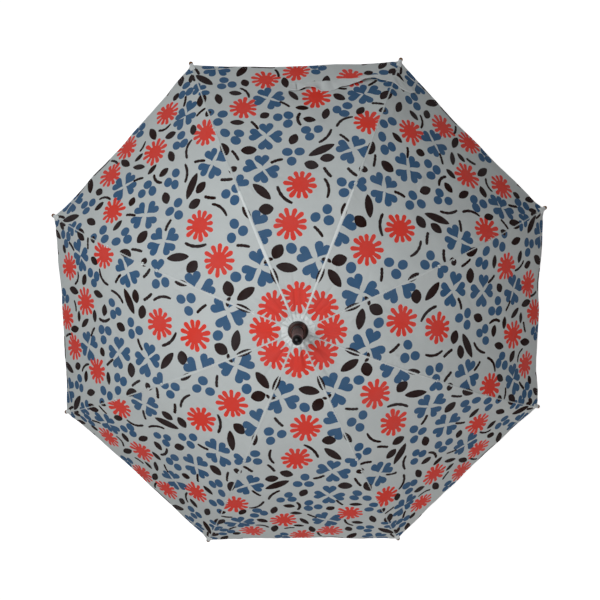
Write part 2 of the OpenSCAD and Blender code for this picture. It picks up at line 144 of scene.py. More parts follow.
STROKES = [
    (-3.0, 23.3, -0.6, 20.4, -0.5), (4.5, 24.6, 4.9, 21.2, 0.5), (4.5, 26.6, 5.7, 24.8, -0.1),
    (8.3, 26.4, 9.8, 24.8, -0.1), (-4.1, 27.5, -2.1, 28.3, 0.15), (-10.5, 30.0, -9.3, 28.0, 0.1),
    (3.75, 31.3, 5.9, 34.0, -0.45), (7.2, 32.8, 8.7, 31.25, 0.1), (0.8, 37.7, 0.9, 35.0, -0.5),
    (6.8, 34.5, 9.6, 36.6, 0.6), (-7.5, 36.0, -6.25, 34.3, 0.1), (12.9, 39.6, 15.0, 39.2, 0.1),
    (-2.75, 40.4, -1.0, 39.1, 0.1), (-9.7, 44.0, -8.0, 41.5, 0.45), (-3.7, 49.4, -3.0, 47.1, 0.2),
    (1.5, 44.7, 3.5, 45.4, -0.2), (6.5, 44.8, 8.9, 43.4, -0.5), (14.2, 45.5, 12.6, 43.9, 0.1),
    (2.7, 16.5, 4.1, 14.7, 0.1), (-12.9, 50.2, -10.6, 50.4, 0.1), (-8.0, 50.1, -3.7, 50.0, 0.0),
    (6.6, 50.4, 9.5, 50.9, 0.1), (11.9, 50.2, 13.6, 50.9, 0.0), (-18.5, 50.4, -17.2, 48.0, 0.2),
]


def daisy(x, y, radius, rng):
    """Twelve plump petals about a solid middle."""
    petals, turn = 12, rng.uniform(0, 0.5)
    points = []
    for k in range(petals):
        a = turn + (k + rng.uniform(-0.12, 0.12)) * math.tau / petals
        long, half = radius * rng.uniform(0.88, 1.07), radius * rng.uniform(0.13, 0.158)
        side = [(0.49 * radius, -0.106 * radius), (0.66 * radius, -half * 0.88), (long - half * 1.35, -half)]
        cap = [(long - half * (1.25 - 1.25 * math.sin(t)), -half * math.cos(t)) for t in (0.4, 0.85, math.pi / 2)]
        outline = side + cap + [(r, -v) for r, v in (side + cap[:-1])[::-1]]
        points += [(x + r * math.cos(a) - v * math.sin(a), y + r * math.sin(a) + v * math.cos(a)) for r, v in outline]
    return points


def heart(centre, middle, rng):
    """A plump heart about middle, whose point is towards centre."""
    out = Vector(middle) - Vector(centre)
    turn = math.atan2(out.y, out.x) + rng.uniform(-0.06, 0.06)
    size = (1.32 if middle[1] < 24 else 1.2) * rng.uniform(0.96, 1.03)
    points = []
    for k in range(24):
        t = (k + 0.5) * math.tau / 24
        side = 1.06 * math.sin(t) ** 3
        along = (13 * math.cos(t) - 5 * math.cos(2 * t) - 2 * math.cos(3 * t) - math.cos(4 * t)) / 14.5 + 0.05
        points.append((middle[0] + size * (along * math.cos(turn) - side * math.sin(turn)),
                       middle[1] + size * (along * math.sin(turn) + side * math.cos(turn))))
    return points


def dot(x, y, rng):
    a, b, turn = 0.88 * rng.uniform(0.95, 1.08), 0.82 * rng.uniform(0.93, 1.05), rng.uniform(0, math.pi)
    return [(x + a * math.cos(t) * math.cos(turn) - b * math.sin(t) * math.sin(turn),
             y + a * math.cos(t) * math.sin(turn) + b * math.sin(t) * math.cos(turn))
            for t in (k * math.tau / 18 for k in range(18))]


def leaf(x, y, length, width, degrees, rng):
    """An almond, pointed at both ends and a little fuller on one side."""
    turn, bend = math.radians(degrees), rng.uniform(-0.08, 0.08)
    length, width = 1.07 * length + 0.05, 1.12 * width + 0.12
    us = [-1, -0.93, -0.78, -0.5, -0.15, 0.2, 0.55, 0.8, 0.94]
    flat = [(u, (1 - u * u) ** 0.72 * (1 + bend)) for u in us]
    flat += [(-u, -((1 - u * u) ** 0.72) * (1 - bend)) for u in us]
    return [(x + length / 2 * u * math.cos(turn) - width / 2 * v * math.sin(turn),
             y + length / 2 * u * math.sin(turn) + width / 2 * v * math.cos(turn)) for u, v in flat]


def stroke(x1, y1, x2, y2, bulge, rng):
    """A curved brush mark with blunt, rounded ends."""
    start, end = Vector((x1, y1)), Vector((x2, y2))
    left = Vector((y1 - y2, x2 - x1)).normalized()
    middle = (start + end) / 2 + left * 2 * bulge
    half = 0.27 * rng.uniform(0.92, 1.08)
    sides = ([], [])
    for k in range(9):
        t = k / 8
        point = (1 - t) ** 2 * start + 2 * t * (1 - t) * middle + t * t * end
        ahead = ((1 - t) * (middle - start) + t * (end - middle)).normalized()
        across = Vector((-ahead.y, ahead.x)) * half * (0.6 if k in (0, 8) else 0.95 + 0.12 * math.sin(2.6 * k))
        sides[0].append(tuple(point + across))
        sides[1].append(tuple(point - across))
    return sides[0] + sides[1][::-1]


def print_shapes():
    """(outline in millimetres, ink) of every motif."""
    rng = random.Random(7)
    shapes = [(daisy(x, y, r, rng), RED) for x, y, r in DAISIES]
    shapes += [(heart(c, m, rng), BLUE) for c, *hearts in CLOVERS for m in hearts]
    shapes += [(dot(x, y, rng), BLUE) for x, y in DOTS]
    shapes += [(leaf(*values, rng), BROWN) for values in LEAVES]
    shapes += [(stroke(*values, rng), BROWN) for values in STROKES]
    crown = [(1.5 * math.sin(a), 2.62 - 0.08 * (1 - math.cos(a)) + 0.05 * math.sin(9 * a)) for a in
             (k * 0.1 - 1.0 for k in range(21))]
    shapes.append(([(-1.6, 0.2), (1.6, 0.2)] + crown[::-1], PALE))
    return [(anticlockwise([(10 * x, 10 * (y - 0.012 * max(0, y - 28))) for x, y in outline]), ink)
            for outline, ink in shapes]


def anticlockwise(points):
    turned = sum(a[0] * b[1] - b[0] * a[1] for a, b in zip(points, points[1:] + points[:1]))
    return points if turned > 0 else points[::-1]


# ---------------------------------------------------------------- panel geometry
_c = np.linspace(0, OPEN_R * COS, 4000)
_z = np.sqrt(CLOTH_R ** 2 - (_c / COS) ** 2)
_s = np.concatenate([[0], np.cumsum(np.hypot(np.diff(_c), np.diff(_z)))])


def reach(y):
    """Distance from the shaft axis of the panel's middle line, y millimetres along it."""
    return np.interp(y, _s, _c)


def along(c):
    """The same, the other way round."""
    return np.interp(c, _c, _s)


def edge(y):
    """Half width of the flat panel at y, from its middle to the seam."""
    return reach(y) * TAN


RIM_MIDDLE = float(along(RIM_MIDDLE_RHO * COS))
RIM_CORNER = float(along(RIM_CORNER_RHO * COS))
TIP_Y = float(along(OPEN_R * COS))


def rim(x):
    """y of the panel's free edge at x."""
    return RIM_MIDDLE + (RIM_CORNER - RIM_MIDDLE) * np.abs(x / edge(RIM_CORNER)) ** 2.6


def waves(seed, count, shortest, longest):
    """Seeded plane waves, as rows of three wave numbers and a phase; lengths in millimetres."""
    rng = random.Random(seed)
    made = []
    for _ in range(count):
        a, b = rng.uniform(0, math.tau), rng.uniform(-0.5, 0.5)
        k = math.tau / rng.uniform(shortest, longest)
        made.append((k * math.cos(a), k * math.sin(a), k * b, rng.uniform(0, math.tau)))
    return np.array(made)


SLACK = waves(3, 9, 55, 150)
RIPPLE = waves(5, 9, 14, 34)


def creases(gore):
    """Faint fold marks of one panel: (x, y, direction, half length, height, half width)."""
    rng = random.Random(40 + gore)
    made = []
    for k in range(4):
        turn = rng.uniform(-0.07, 0.07) + (-0.27, -0.1, 0.03, 0.2)[k]
        start, end = rng.uniform(14, 22), rng.uniform(62, 105)
        middle = (start + end) / 2
        made.append((middle * math.sin(turn), middle * math.cos(turn), math.pi / 2 - turn, (end - start) / 2,
                     rng.choice((-2.2, 1.7)) * rng.uniform(0.7, 1.1), rng.uniform(2.0, 3.2)))
    for _ in range(8):
        y = rng.uniform(70, 470)
        made.append((rng.uniform(-0.8, 0.8) * float(edge(y)), y, rng.uniform(0.15, math.pi - 0.15),
                     rng.uniform(20, 60), rng.choice((-1, 1)) * rng.uniform(0.4, 0.9), rng.uniform(2.2, 3.6)))
    for side in (-1, 1):
        for _ in range(3):
            y = rng.uniform(90, 420)
            made.append((side * (float(edge(y)) - 16), y, math.pi / 2 - side * rng.uniform(0.5, 1.1),
                         rng.uniform(12, 24), 0.8, 2.4))
    return made


CREASES = [creases(g) for g in range(RIBS + 1)]


def relief(gore, x, y):
    """How far the cloth stands above the plain panel, in millimetres."""
    wide = np.maximum(edge(y), 1e-6)
    u = np.clip(x / wide, -1, 1)
    seam = np.maximum(wide - np.abs(x), 0) * COS
    fade = 1 - np.exp(-((seam / 9) ** 2))
    c = reach(y)
    out = np.hypot(c, x)
    turn = gore * STEP - np.arctan2(x, c)
    place = np.stack([out * np.cos(turn), out * np.sin(turn), 0 * out, np.ones_like(out)], -1)
    slack = np.sin(place @ SLACK.T).sum(-1) / 3
    ripple = np.sin(place @ RIPPLE.T).sum(-1) / 3
    free = np.clip((out - 30) / 60, 0, 1)
    total = -3.0 * (1 - u * u) * np.sin(math.pi * np.clip((y - 20) / 480, 0, 1))
    total += (0.95 * slack + 0.16 * ripple) * fade * free
    gather = 22 * turn + 1.7 * np.sin(3 * turn) + 0.8 * np.sin(5 * turn)
    total += 1.15 * np.exp(-(((out - 16) / 27) ** 2)) * np.cos(gather) * np.clip(out / 20, 0, 1)
    for x0, y0, way, half, high, wide_ in CREASES[gore]:
        p = (x - x0) * math.cos(way) + (y - y0) * math.sin(way)
        q = -(x - x0) * math.sin(way) + (y - y0) * math.cos(way)
        total += high * np.exp(-((q / wide_) ** 2) - (p / half) ** 4) * fade
    for side in (-1, 1):
        dx, dy = side * x - float(edge(TIP_Y)), y - TIP_Y
        r = np.hypot(dx, dy)
        fan = np.arctan2(dy, dx) * 13 + gore * 1.7 + side
        total += 0.75 * np.exp(-((r / 60) ** 2)) * np.sin(fan) * r / (r + 12) * fade
    pucker = np.sin(y * math.tau / 12 + 2 * np.sin(y / 37 + gore))
    total += 0.28 * np.exp(-((seam / 8) ** 2)) * (1 - np.exp(-((seam / 2.5) ** 2))) * pucker
    return total


def surface(gore, x, y, lift=0.0):
    """Point of the draped panel, lifted along the panel's own normal."""
    x, y = np.asarray(x, float), np.asarray(y, float)
    c = reach(y)
    root = np.sqrt(CLOTH_R ** 2 - (c / COS) ** 2)
    fall = -(c / COS ** 2) / root
    size = np.hypot(1, fall)
    a = gore * STEP
    high = (relief(gore, x, y) + lift) / size
    beyond = np.maximum(y - _s[-1], 0) / size
    flat = c + beyond - fall * high
    return np.stack([flat * math.cos(a) + x * math.sin(a), flat * math.sin(a) - x * math.cos(a),
                     BEND_Z + root + beyond * fall + high], -1)


def normals(gore, x, y):
    """Unit normals of the draped panel."""
    h = 0.35
    du = surface(gore, x + h, y) - surface(gore, x - h, y)
    dv = surface(gore, x, y + h) - surface(gore, x, y - h)
    n = np.cross(du, dv)
    return n / np.linalg.norm(n, axis=-1, keepdims=True)


def seam_place(rib, y, v):
    """(panel, x) of the point v millimetres to the side of a rib's seam, positive anticlockwise."""
    wide = float(edge(y))
    return (rib, wide - v) if v >= 0 else ((rib - 2) % RIBS + 1, -wide - v)


def seam_point(rib, y, v, lift):
    gore, x = seam_place(rib, y, v)
    return surface(gore, x, y, lift)


def rib_frame(rib, phi, side, up):
    """Point near a rib: phi along its arc, then millimetres to the side and up from its middle."""
    a = (rib - 0.5) * STEP
    r, z = (BEND_R + up) * math.sin(phi), (BEND_R + up) * math.cos(phi)
    return (r * math.cos(a) - side * math.sin(a), r * math.sin(a) + side * math.cos(a), BEND_Z + z)


# ---------------------------------------------------------------- meshes
def grain(y):
    return 1.6 if y < 40 else 2.3 if y < 110 else 4.8


def climb(start, end):
    """Values from start to end, as far apart as the cloth's mesh is there."""
    made = [start]
    while made[-1] + 1.4 * grain(made[-1]) < end:
        made.append(made[-1] + grain(made[-1]))
    return made + [end]


def across_points(y_of, left, right, gap):
    count = max(2, round((right - left) / gap))
    return [(left + (right - left) * k / count, float(y_of(left + (right - left) * k / count)))
            for k in range(count + 1)]


def flat_panel():
    """The flat panel cut into triangles along the print: points, triangles and each triangle's ink."""
    start = float(along(HOLE_R * COS))
    ys = climb(start, RIM_CORNER)
    right = [(float(edge(y)), y) for y in ys]
    top = across_points(rim, -right[-1][0], right[-1][0], 4.5)
    bottom = across_points(lambda x: start, -right[0][0], right[0][0], 1.6)
    outline = bottom + right[1:] + top[::-1][1:] + [(-x, y) for x, y in right[:-1]][::-1][:-1]
    loops = [(outline, CLOTH)] + print_shapes()
    lines = [[(0.0, y) for y in climb(start, RIM_MIDDLE)]]
    for y, _ in BANDS[:-1]:
        wide = float(edge(y))
        lines.append(across_points(lambda x, y=y: y, -wide, wide, grain(y)))
    for inset in (1.2, HEM_W, HEM_W + 1.0):
        wide = float(edge(RIM_CORNER - inset)) - 0.3
        lines.append(across_points(lambda x, d=inset: rim(x) - d, -wide, wide, 4.5))
    points, faces, edges = [], [], []
    for loop, _ in loops:
        faces.append(list(range(len(points), len(points) + len(loop))))
        points += loop
    for line in lines:
        edges += [(k, k + 1) for k in range(len(points), len(points) + len(line) - 1)]
        points += line
    tree = kdtree.KDTree(len(points))
    for k, (x, y) in enumerate(points):
        tree.insert((x, y, 0), k)
    tree.balance()
    y, row = start + 1.0, 0
    while y < RIM_CORNER:
        gap = grain(y)
        wide = float(edge(y))
        x = -math.floor(wide / gap) * gap + (0.5 * gap if row % 2 else 0)
        while x < wide - 0.35 * gap:
            if y < rim(x) - 1 and x > -wide + 0.35 * gap and tree.find((x, y, 0))[2] > 0.32 * gap + 0.3:
                points.append((x, y))
            x += gap
        y += 0.866 * gap
        row += 1
    verts, _, tris, _, _, origin = delaunay_2d_cdt([Vector(p) for p in points], edges, faces, 0, 1e-4, True)
    kept = [(t, max(loops[k][1] for k in o)) for t, o in zip(tris, origin) if 0 in o]
    return np.array(verts), np.array([t for t, _ in kept]), np.array([ink for _, ink in kept])


def mesh_object(name, verts, faces, materials, inks=None, uvs=None, vertex_normals=None):
    """A smooth object from points in millimetres."""
    mesh = bpy.data.meshes.new(name)
    mesh.from_pydata((np.asarray(verts) * MM).tolist(), [], [list(map(int, f)) for f in faces])
    for m in materials:
        mesh.materials.append(m)
    if inks is not None:
        mesh.polygons.foreach_set("material_index", np.asarray(inks, np.int32))
    if uvs is not None:
        layer = mesh.uv_layers.new(name="cloth")
        corner = np.zeros(len(mesh.loops), np.int32)
        mesh.loops.foreach_get("vertex_index", corner)
        layer.data.foreach_set("uv", np.asarray(uvs, np.float32)[corner].ravel())
    mesh.polygons.foreach_set("use_smooth", np.ones(len(mesh.polygons), bool))
    mesh.update()
    if vertex_normals is not None:
        mesh.normals_split_custom_set_from_vertices(np.asarray(vertex_normals).tolist())
    made = bpy.data.objects.new(name, mesh)
    bpy.context.scene.collection.objects.link(made)
    return made


def loose_edges(tris):
    """Edges that only one triangle has, in that triangle's direction."""
    found = {}
    for a, b, c in tris:
        for pair in ((a, b), (b, c), (c, a)):
            found[pair] = True
    return [pair for pair in found if (pair[1], pair[0]) not in found]


def hem_share(x, y):
    return np.clip((HEM_W + 1.0 - (rim(x) - y)), 0, 1)


def cloth_part(gore, side, low, high, panel):
    """Both faces and the edges of one side of a panel between two heights."""
    flat, tris, inks = panel
    middle = flat[tris].mean(1)
    mine = (middle[:, 0] * side > 0) & (middle[:, 1] >= low) & (middle[:, 1] < high)
    used, index = np.unique(tris[mine], return_inverse=True)
    tri = index.reshape(-1, 3)
    x, y = flat[used, 0], flat[used, 1]
    half = HALF_T + (HEM_HALF_T - HALF_T) * hem_share(x, y)
    up = normals(gore, x, y)
    points = np.concatenate([surface(gore, x, y, half), surface(gore, x, y, -half)])
    n = len(used)
    faces = [tuple(t) for t in tri] + [(c + n, b + n, a + n) for a, b, c in tri]
    ink = list(inks[mine]) + [k + 5 for k in inks[mine]]
    for a, b in loose_edges(map(tuple, tri)):
        faces.append((b, a, a + n, b + n))
        ink.append(CLOTH)
    uv = np.stack([x, y], -1) * MM + gore * 0.7
    return points, faces, ink, np.concatenate([uv, uv]), np.concatenate([up, -up]), flat_area(flat, tris[mine])


def flat_area(flat, tris):
    a, b, c = flat[tris[:, 0]], flat[tris[:, 1]], flat[tris[:, 2]]
    d, e = b - a, c - a
    return float(np.abs(d[:, 0] * e[:, 1] - d[:, 1] * e[:, 0]).sum() / 2)


def joined(parts):
    """Several (points, faces, ...) as one."""
    points, faces, rest = [], [], [[] for _ in parts[0][2:]]
    start = 0
    for part in parts:
        points.append(np.asarray(part[0]))
        faces += [tuple(k + start for k in f) for f in part[1]]
        start += len(part[0])
        for store, value in zip(rest, part[2:]):
            store.append(value)
    return np.concatenate(points), faces, rest


def loft(sections, wrap=False):
    """Faces between equal rings of points; wrap joins the last ring to the first."""
    count, size = len(sections), len(sections[0])
    points = [p for s in sections for p in s]
    faces = []
    for k in range(count if wrap else count - 1):
        for j in range(size):
            a, b, on = k * size, (k + 1) % count * size, (j + 1) % size
            faces.append((a + j, a + on, b + on, b + j))
    if not wrap:
        faces.append(tuple(range(size))[::-1])
        faces.append(tuple(range((count - 1) * size, count * size)))
    return np.array(points), faces


def thread_marks(places, half_length=1.25, half_width=0.24, high=0.34):
    """One mesh of small stitches, each at (point, direction, normal)."""
    points, faces = [], []
    for p, ahead, up in places:
        p, ahead, up = np.asarray(p), np.asarray(ahead), np.asarray(up)
        ahead = ahead / np.linalg.norm(ahead)
        side = np.cross(up, ahead)
        k = len(points)
        points += [p - ahead * half_length - up * 0.1, p + ahead * half_length - up * 0.1,
                   p + side * half_width, p + up * high, p - side * half_width, p - up * 0.15]
        faces += [(k, k + 2 + j, k + 2 + (j + 1) % 4) for j in range(4)]
        faces += [(k + 1, k + 2 + (j + 1) % 4, k + 2 + j) for j in range(4)]
    return np.array(points), faces


# ---------------------------------------------------------------- materials
class Shader:
    """A Principled material, with short ways to add and link nodes."""

    def __init__(self, name, **values):
        self.material = bpy.data.materials.new(name)
        self.material.use_nodes = True
        self.tree = self.material.node_tree
        self.surface = self.tree.nodes["Principled BSDF"]
        for key, value in values.items():
            self.surface.inputs[key.replace("_", " ")].default_value = value

    def put(self, socket, value):
        if isinstance(value, bpy.types.NodeSocket):
            self.tree.links.new(value, socket)
        else:
            socket.default_value = value

    def add(self, kind, inputs=(), **settings):
        made = self.tree.nodes.new("ShaderNode" + kind)
        for key, value in settings.items():
            setattr(made, key, value)
        for key, value in dict(inputs).items():
            self.put(made.inputs[key], value)
        return made

    def place(self, what="Object", scale=(1, 1, 1)):
        source = self.add("TexCoord").outputs[what]
        return self.add("Mapping", {"Vector": source, "Scale": scale}).outputs["Vector"]

    def noise(self, vector, scale, detail=3.0, rough=0.55):
        inputs = {"Vector": vector, "Scale": scale, "Detail": detail, "Roughness": rough}
        return self.add("TexNoise", inputs).outputs["Fac"]

    def wave(self, vector, scale, direction, distortion=0.0):
        inputs = {"Vector": vector, "Scale": scale, "Distortion": distortion, "Detail": 1.0, "Detail Scale": 2.0}
        return self.add("TexWave", inputs, bands_direction=direction).outputs["Fac"]

    def math(self, operation, a, b):
        return self.add("Math", {0: a, 1: b}, operation=operation).outputs[0]

    def ramp(self, factor, stops):
        made = self.add("ValToRGB", {"Fac": factor})
        elements = made.color_ramp.elements
        for k, (at, colour) in enumerate(stops):
            stop = elements[k] if k < 2 else elements.new(at)
            stop.position = at
            stop.color = (*colour, 1)
        return made.outputs["Color"]

    def bands(self, stops):
        """Shade by height: stops are (height in metres, how light)."""
        low, high = stops[0][0], stops[-1][0]
        z = self.add("SeparateXYZ", {"Vector": self.add("TexCoord").outputs["Object"]}).outputs["Z"]
        inputs = {"Value": z, "From Min": low, "From Max": high}
        share = self.add("MapRange", inputs).outputs["Result"]
        return self.ramp(share, [((h - low) / (high - low), (v, v, v)) for h, v in stops])

    def range(self, value, low, high):
        inputs = {"Value": value, "To Min": low, "To Max": high}
        return self.add("MapRange", inputs).outputs["Result"]

    def tint(self, factor, colour, how="MULTIPLY", amount=1.0):
        made = self.add("Mix", {0: amount, 6: colour, 7: factor}, data_type="RGBA", blend_type=how)
        return made.outputs[2]

    def finish(self, colour, rough, height, distance, strength=1.0):
        self.put(self.surface.inputs["Base Color"], colour)
        self.put(self.surface.inputs["Roughness"], rough)
        inputs = {"Height": height, "Distance": distance, "Strength": strength}
        self.put(self.surface.inputs["Normal"], self.add("Bump", inputs).outputs["Normal"])
        return self.material


def linear(red, green, blue):
    """Colour from 0 to 255 values as seen on a screen."""
    shares = (red / 255, green / 255, blue / 255)
    return tuple(v / 12.92 if v <= 0.04045 else ((v + 0.055) / 1.055) ** 2.4 for v in shares)


def mixed(a, b, share):
    return tuple(x * (1 - share) + y * share for x, y in zip(a, b))


def woven(name, colour, deep, spot=0.05):
    """Fine plain-weave cloth: threads each way, uneven yarn and faint mottling."""
    gloss = 0.2 if max(colour) > 0.3 else 0.02
    s = Shader(name, Sheen_Weight=0.2 * gloss, Sheen_Roughness=0.45, Specular_IOR_Level=gloss)
    uv = s.place("UV")
    warp, weft = s.wave(uv, 620, "X"), s.wave(uv, 620, "Y")
    weave = s.math("MULTIPLY", s.math("SUBTRACT", warp, 0.5), s.math("SUBTRACT", weft, 0.5))
    yarn = s.noise(s.place("UV", (900, 30, 1)), 1.0, 2.0)
    yarn_across = s.noise(s.place("UV", (30, 900, 1)), 1.0, 2.0)
    yarns = s.math("MULTIPLY", yarn, yarn_across)
    mottle = s.noise(s.place(), 16, 5.0, 0.6)
    thread = s.range(weave, 0.97, 1.03)
    base = s.ramp(mottle, [(0.3, mixed(colour, deep, spot * 4)), (0.7, colour)])
    shade = s.math("MULTIPLY", thread, s.range(yarns, 0.95, 1.06))
    tinted = s.tint(base, shade)
    rough = s.range(s.math("ADD", mottle, yarns), 0.62, 0.84)
    height = s.math("ADD", weave, s.math("MULTIPLY", yarns, 0.6))
    return s.finish(tinted, rough, height, 0.00009, 0.55)


def wood(name, dark, middle, light, stretch=0.06, gloss=0.12, wear_and_painted_shade=None):
    """Stained wood with long streaks, pores and a thin varnish, and optional height stops of painted shade."""
    s = Shader(name, Coat_Weight=gloss, Coat_Roughness=0.25, Specular_IOR_Level=0.3)
    along_grain = s.place("Object", (1, 1, stretch))
    warp = s.noise(along_grain, 60, 3.0)
    streak = s.noise(s.place("Object", (1, 1, stretch * 0.6)), 260, 6.0, 0.7)
    pores = s.noise(s.place("Object", (1, 1, 0.03)), 1500, 3.0, 0.8)
    rings = s.wave(along_grain, 14, "X", 6.0)
    grain_ = s.math("ADD", s.math("MULTIPLY", streak, 0.6), s.math("MULTIPLY", s.math("ADD", rings, warp), 0.22))
    colour = s.ramp(grain_, [(0.28, dark), (0.72, light), (0.5, middle)])
    dark_pores = s.ramp(pores, [(0.36, (0.35, 0.3, 0.28)), (0.5, (1, 1, 1))])
    rough = s.range(s.math("ADD", streak, pores), 0.3, 0.52)
    height = s.math("ADD", s.math("MULTIPLY", streak, 0.6), pores)
    # Painted shade: bands by height darken the wood, used on the spike for its turned groove and next to the cup's
    # rim.
    if wear_and_painted_shade:
        colour = s.tint(s.bands(wear_and_painted_shade), colour)
    return s.finish(s.tint(dark_pores, colour), rough, height, 0.00018, 0.45)


def plated(name, colour, dull, brushed=(1, 1, 0.08)):
    """Nickel-plated steel with fine draw marks and cloudy spots."""
    s = Shader(name, Metallic=1.0)
    marks = s.noise(s.place("Object", brushed), 1900, 3.0, 0.7)
    cloud = s.noise(s.place(), 90, 5.0, 0.65)
    specks = s.noise(s.place(), 900, 2.0, 0.7)
    base = s.ramp(cloud, [(0.35, dull), (0.6, colour)])
    spotted = s.ramp(specks, [(0.28, (0.55, 0.5, 0.46)), (0.36, (1, 1, 1))])
    rough = s.range(s.math("ADD", marks, cloud), 0.2, 0.46)
    return s.finish(s.tint(spotted, base), rough, s.math("ADD", marks, specks), 0.00004, 0.5)


def moulded(name, colour, wear_and_painted_shade, rough, coat):
    """Glossy plastic with a trace of orange peel, dust and rubbed spots."""
    s = Shader(name, Coat_Weight=coat, Coat_Roughness=0.12, Specular_IOR_Level=0.3)
    peel = s.noise(s.place(), 900, 2.0)
    cloud = s.noise(s.place(), 160, 4.0, 0.6)
    scuffs = s.noise(s.place("Object", (1, 0.15, 0.4)), 1400, 2.0, 0.8)
    colour_ = s.ramp(cloud, [(0.3, colour), (0.75, wear_and_painted_shade)])
    rubbed = s.ramp(scuffs, [(0.3, (1.25, 1.22, 1.2)), (0.42, (1, 1, 1))])
    return s.finish(s.tint(rubbed, colour_), s.range(cloud, *rough), s.math("ADD", peel, scuffs), 0.00005, 0.35)


def felted(name, colour, light):
    """Pressed felt: short tangled fibres."""
    s = Shader(name, Sheen_Weight=0.4, Specular_IOR_Level=0.2)
    fuzz = s.noise(s.place(), 2600, 6.0, 0.75)
    tangle = s.noise(s.place("Object", (1, 0.3, 1)), 800, 4.0, 0.7)
    return s.finish(s.ramp(fuzz, [(0.3, colour), (0.7, light)]), s.range(fuzz, 0.8, 0.98),
                    s.math("ADD", fuzz, tangle), 0.0003, 0.7)


def spun(name, colour, shade):
    """Sewing thread: two plies twisted together."""
    s = Shader(name, Sheen_Weight=0.25, Specular_IOR_Level=0.35)
    twist = s.wave(s.place("Object", (1, 1, 1)), 380, "DIAGONAL", 1.5)
    fibre = s.noise(s.place(), 2400, 4.0, 0.7)
    return s.finish(s.ramp(s.math("MULTIPLY", twist, fibre), [(0.1, shade), (0.5, colour)]),
                    s.range(fibre, 0.55, 0.8), s.math("ADD", twist, fibre), 0.0001, 0.5)


WHITE = linear(247, 250, 249)
INKS = {"cloth": linear(217, 221, 220), "pale": linear(244, 247, 246), "red": linear(247, 66, 50),
        "blue": linear(67, 104, 142), "brown": linear(46, 25, 21)}
GREY = linear(178, 186, 190)


def cloth_materials():
    """The top of each ink's cloth, then the undersides, where the print shows through more weakly."""
    top = [woven("cloth_" + n, c, mixed(c, linear(150, 158, 165), 0.5)) for n, c in INKS.items()]
    under = [woven("cloth_" + n + "_under", mixed(c, INKS["cloth"], 0.0 if n in ("cloth", "pale") else 0.42),
                   mixed(c, GREY, 0.6)) for n, c in INKS.items()]
    return top + under


def follow(piece, rib):
    """Ride a cloth piece on its rib, on its own copy of its mesh."""
    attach(piece, f"rib_{rib}")
    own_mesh(piece)


def canopy(materials, white, tape, thread):
    """Half a panel on either side of each rib, in bands, with the seam and the pieces sewn on along it."""
    panel = flat_panel()
    heights = [0.0] + [float(y) for y, _ in BANDS]
    last = len(BANDS) - 1
    for rib in range(1, RIBS + 1):
        before = (rib - 2) % RIBS + 1
        points, faces = seam_mesh(rib)
        pale = [0 if points[f[0]][2] > SEAM_PALE_Z else 1 for f in faces]
        seam = mesh_object(f"seam_{rib}", points, faces, [white if rib in (2, 3) else tape, materials[CLOTH]], pale)
        seam_thread = mesh_object(f"seam_stitches_{rib}", *seam_stitches(rib), [thread])
        pocket = mesh_object(f"tip_pocket_{rib}", *pocket_mesh(rib), [white])
        binding = mesh_object(f"tip_binding_{rib}", *binding_mesh(rib), [thread])
        ties = mesh_object(f"rib_ties_{rib}", *tie_mesh(rib), [white])
        for piece in (seam, seam_thread):
            follow(piece, rib)
        for piece in (pocket, binding, ties):
            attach(piece, f"rib_{rib}")
        for side, gore, name in ((1, rib, "left"), (-1, before, "right")):
            hem_thread = mesh_object(f"hem_stitches_{rib}_{name}", *hem_stitches(gore, side), [thread])
            follow(hem_thread, rib)
            for k, (_, lean) in enumerate(BANDS):
                points, faces, ink, uv, up, area = cloth_part(gore, side, heights[k], heights[k + 1], panel)
                piece = mesh_object(f"canopy_{rib}_{name}_{BAND_NAMES[k]}", points, faces, materials, ink, uv, up)
                if k:
                    follow(piece, rib)
                else:
                    follow(piece, rib)
                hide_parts(f"canopy_{rib}")
                low, high = max(heights[k], float(along(HOLE_R * COS))), min(heights[k + 1], RIM_CORNER)
                extra = [seam, seam_thread, ties] if k == 0 else [pocket, binding] if k == last else []
                extra = extra if side == 1 else []
                extra += [hem_thread] if k == last else []
                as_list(extra)


# The seam tape is pale above this level, and the cloth's own colour below it
SEAM_PALE_Z = BEND_Z + math.sqrt(CLOTH_R ** 2 - 235 ** 2)
# Share of the full seam width that shows on each rib
SEAM_SHARE = (0.7, 1.1, 1.2, 0.8, 0.8, 0.9, 0.65, 0.65)


def seam_width(rib, y):
    """Width in millimetres of the part of the seam that shows at y."""
    full = float(np.interp(y, [0, 30, 80, 120, 190, 250, 320, 520], [3.0, 2.8, 3.2, 4.8, 4.6, 3.0, 2.0, 1.7]))
    return full * SEAM_SHARE[rib - 1] * (1 + 0.18 * math.sin(y / 17 + 2 * rib))


def seam_mesh(rib):
    """The felled seam: a low padded strip over the rib, pinched by its stitching."""
    sections = []
    for y in np.arange(15, RIM_CORNER - 8, 2.5):
        wide = seam_width(rib, y)
        high = 0.55 + 0.25 * math.sin(y * math.tau / 7.5 + rib) * (1 if y < 260 else 0.5)
        top = [seam_point(rib, y, wide / 2 * u, HALF_T + high * (1 - u ** 4) ** 0.5 + 0.02)
               for u in (-1, -0.9, -0.6, -0.25, 0.0001, 0.25, 0.6, 0.9, 1)]
        low = [seam_point(rib, y, wide / 2 * u, HALF_T - 0.12) for u in (0.85, 0.0001, -0.85)]
        sections.append(top + low)
    return loft([s[::-1] for s in sections])


def seam_stitches(rib):
    """A row of stitches on either side of a rib's seam."""
    places = []
    for side in (-1, 1):
        for y in np.arange(24, RIM_CORNER - 12, 4.2):
            v = side * (seam_width(rib, y) / 2 + 0.9)
            gore, x = seam_place(rib, y, v)
            up = normals(gore, x, y)
            ahead = seam_point(rib, y + 1, v, 0) - seam_point(rib, y - 1, v, 0)
            places.append((surface(gore, x, y, HALF_T + 0.05), ahead, up))
    return thread_marks(places)


